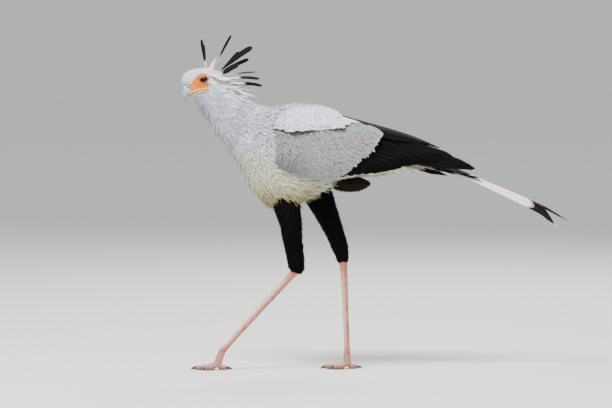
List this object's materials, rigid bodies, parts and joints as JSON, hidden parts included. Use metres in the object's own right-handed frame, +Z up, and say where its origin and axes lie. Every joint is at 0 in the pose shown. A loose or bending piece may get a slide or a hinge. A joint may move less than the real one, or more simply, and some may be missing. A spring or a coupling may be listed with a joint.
{
  "type": "secretary bird",
  "caption": "Walking secretary bird with a hooked bill, plumed nape, folded wings, long tail feathers and long bare legs, on both feet.",
  "frame": {"origin": "on the floor, under the middle of the box round the whole bird", "axes": "+Z up, the bird faces -X, its left side is -Y"},
  "size_m": [1.131, 0.234, 0.9715],
  "materials": {
    "white_feathers": "matt white and pale grey plumage, cream low on the breast",
    "grey_feathers": "matt grey wing coverts with pale edges, black flight feathers",
    "dark_feathers": "matt black plumage",
    "leg_skin": "pink scaled skin with a paler front edge",
    "face_skin": "bare orange facial skin, yellow below the eye",
    "horn": "satin blue-grey horn with a yellowish hook",
    "claw": "satin near-black horn",
    "eye": "wet gloss dark brown eye"
  },
  "bodies": {
    "root": {"head": "white_feathers", "neck": "white_feathers", "torso": "white_feathers", "tail": "white_feathers", "vent_feathers": "dark_feathers", "wing_left": "grey_feathers", "wing_right": "grey_feathers", "thigh_left": "dark_feathers", "thigh_right": "dark_feathers", "tarsus_left": "leg_skin", "tarsus_right": "leg_skin", "foot_left": "leg_skin", "foot_right": "leg_skin", "bill_upper": "horn", "bill_lower": "horn", "eye_left": "eye", "eye_right": "eye", "claw_left_middle": "claw", "claw_left_inner": "claw", "claw_left_outer": "claw", "claw_left_hind": "claw", "claw_right_middle": "claw", "claw_right_inner": "claw", "claw_right_outer": "claw", "claw_right_hind": "claw"}
  },
  "joints": []
}
